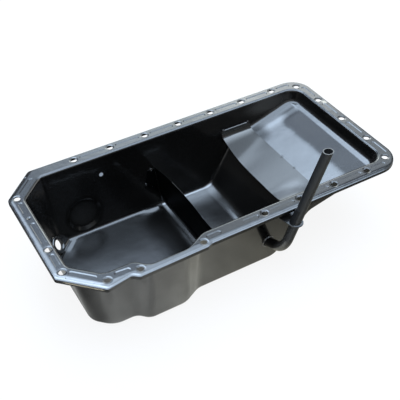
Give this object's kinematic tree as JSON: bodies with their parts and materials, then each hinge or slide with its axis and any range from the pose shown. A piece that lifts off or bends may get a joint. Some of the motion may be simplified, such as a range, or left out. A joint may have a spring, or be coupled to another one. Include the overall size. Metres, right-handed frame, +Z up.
{
  "type": "engine oil pan",
  "caption": "Pressed steel engine oil pan with a deep front sump, a shallow rear floor, welded baffle and tray, and a bent tube for the oil level stick.",
  "frame": {"origin": "middle of the front row of bolts, on the sealing face", "axes": "+X to the rear, along the pan; +Y to the side with the drain; +Z up, out of the sealing face towards the engine"},
  "size_m": [0.5042, 0.2705, 0.2],
  "materials": {
    "pan_paint": "gloss black paint",
    "nut_paint": "gloss black paint",
    "baffle_paint": "gloss black paint",
    "tray_paint": "gloss black paint",
    "tube_paint": "gloss black paint",
    "bracket_paint": "gloss black paint"
  },
  "bodies": {
    "root": {"pan_body": "pan_paint", "drain_nut": "nut_paint", "sump_baffle": "baffle_paint", "windage_tray": "tray_paint", "dipstick_tube": "tube_paint", "tube_bracket": "bracket_paint"}
  },
  "joints": []
}
